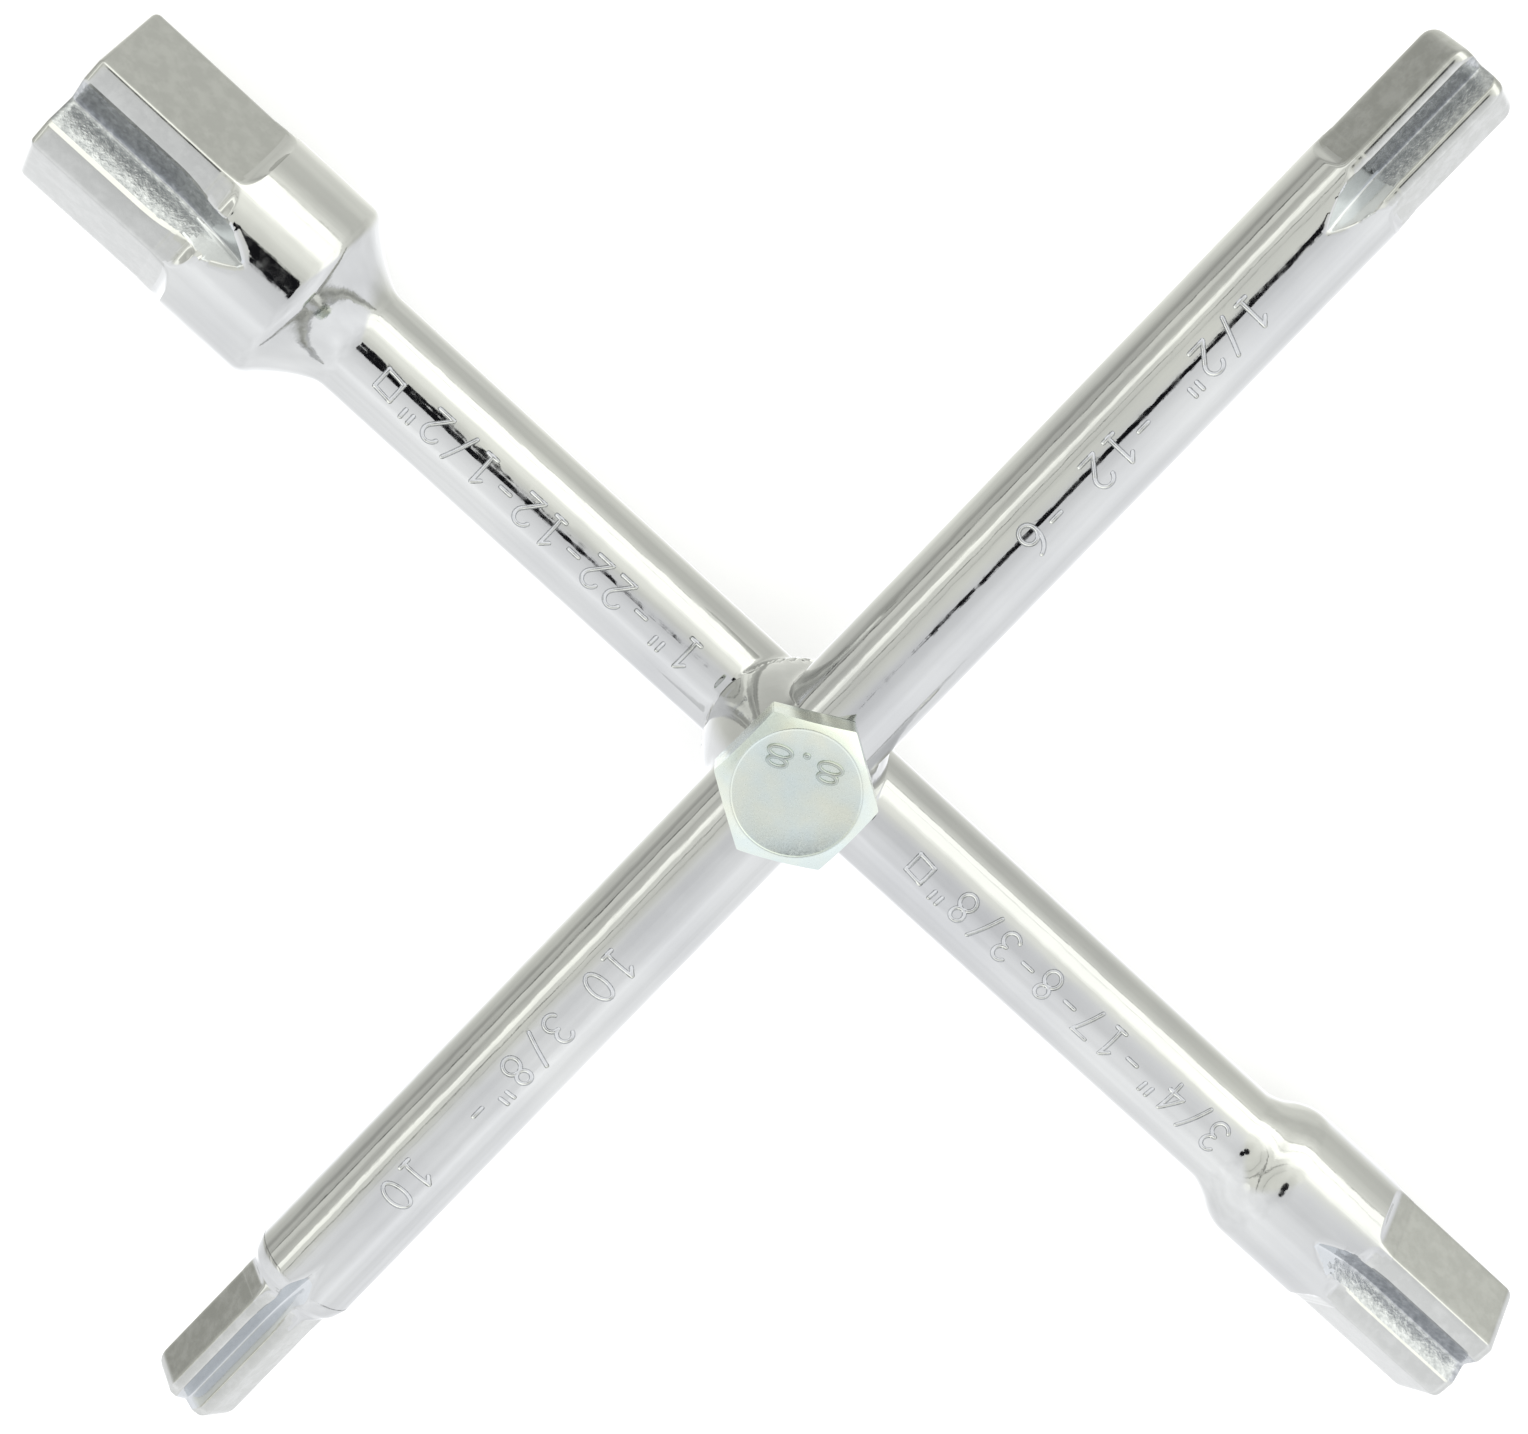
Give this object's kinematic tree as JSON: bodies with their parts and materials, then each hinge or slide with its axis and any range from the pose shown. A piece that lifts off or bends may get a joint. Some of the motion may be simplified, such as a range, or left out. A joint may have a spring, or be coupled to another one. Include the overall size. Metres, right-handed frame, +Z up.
{
  "type": "folding step key",
  "caption": "Folding cross-shaped step key: two chromed round bars pinned at the middle by a bolt that is screwed into the rear one, with a differently sized grooved hexagon on each end.",
  "frame": {"origin": "centre of the pivot bolt's threaded end face", "axes": "+Z up the pivot bolt to its head; X along the rear bar with the 22 mm hexagon at +X; the front bar crosses it along Y with the 10 mm hexagon at +Y"},
  "size_m": [0.231, 0.222, 0.0402],
  "materials": {
    "bar_chrome": "bright chrome plating over a polished forging",
    "fastener_zinc": "pale zinc plating with a faint blue-green and yellow tint"
  },
  "bodies": {
    "rear_bar": {"rear_bar": "bar_chrome", "pivot_bolt": "fastener_zinc"},
    "front_bar": {"front_bar": "bar_chrome"}
  },
  "joints": [
    {"name": "fold", "type": "hinge", "parent": "rear_bar", "child": "front_bar", "pos_m": [0, 0, 0.016], "axis": [0, 0, 1], "range_deg": [-79, 79]}
  ]
}
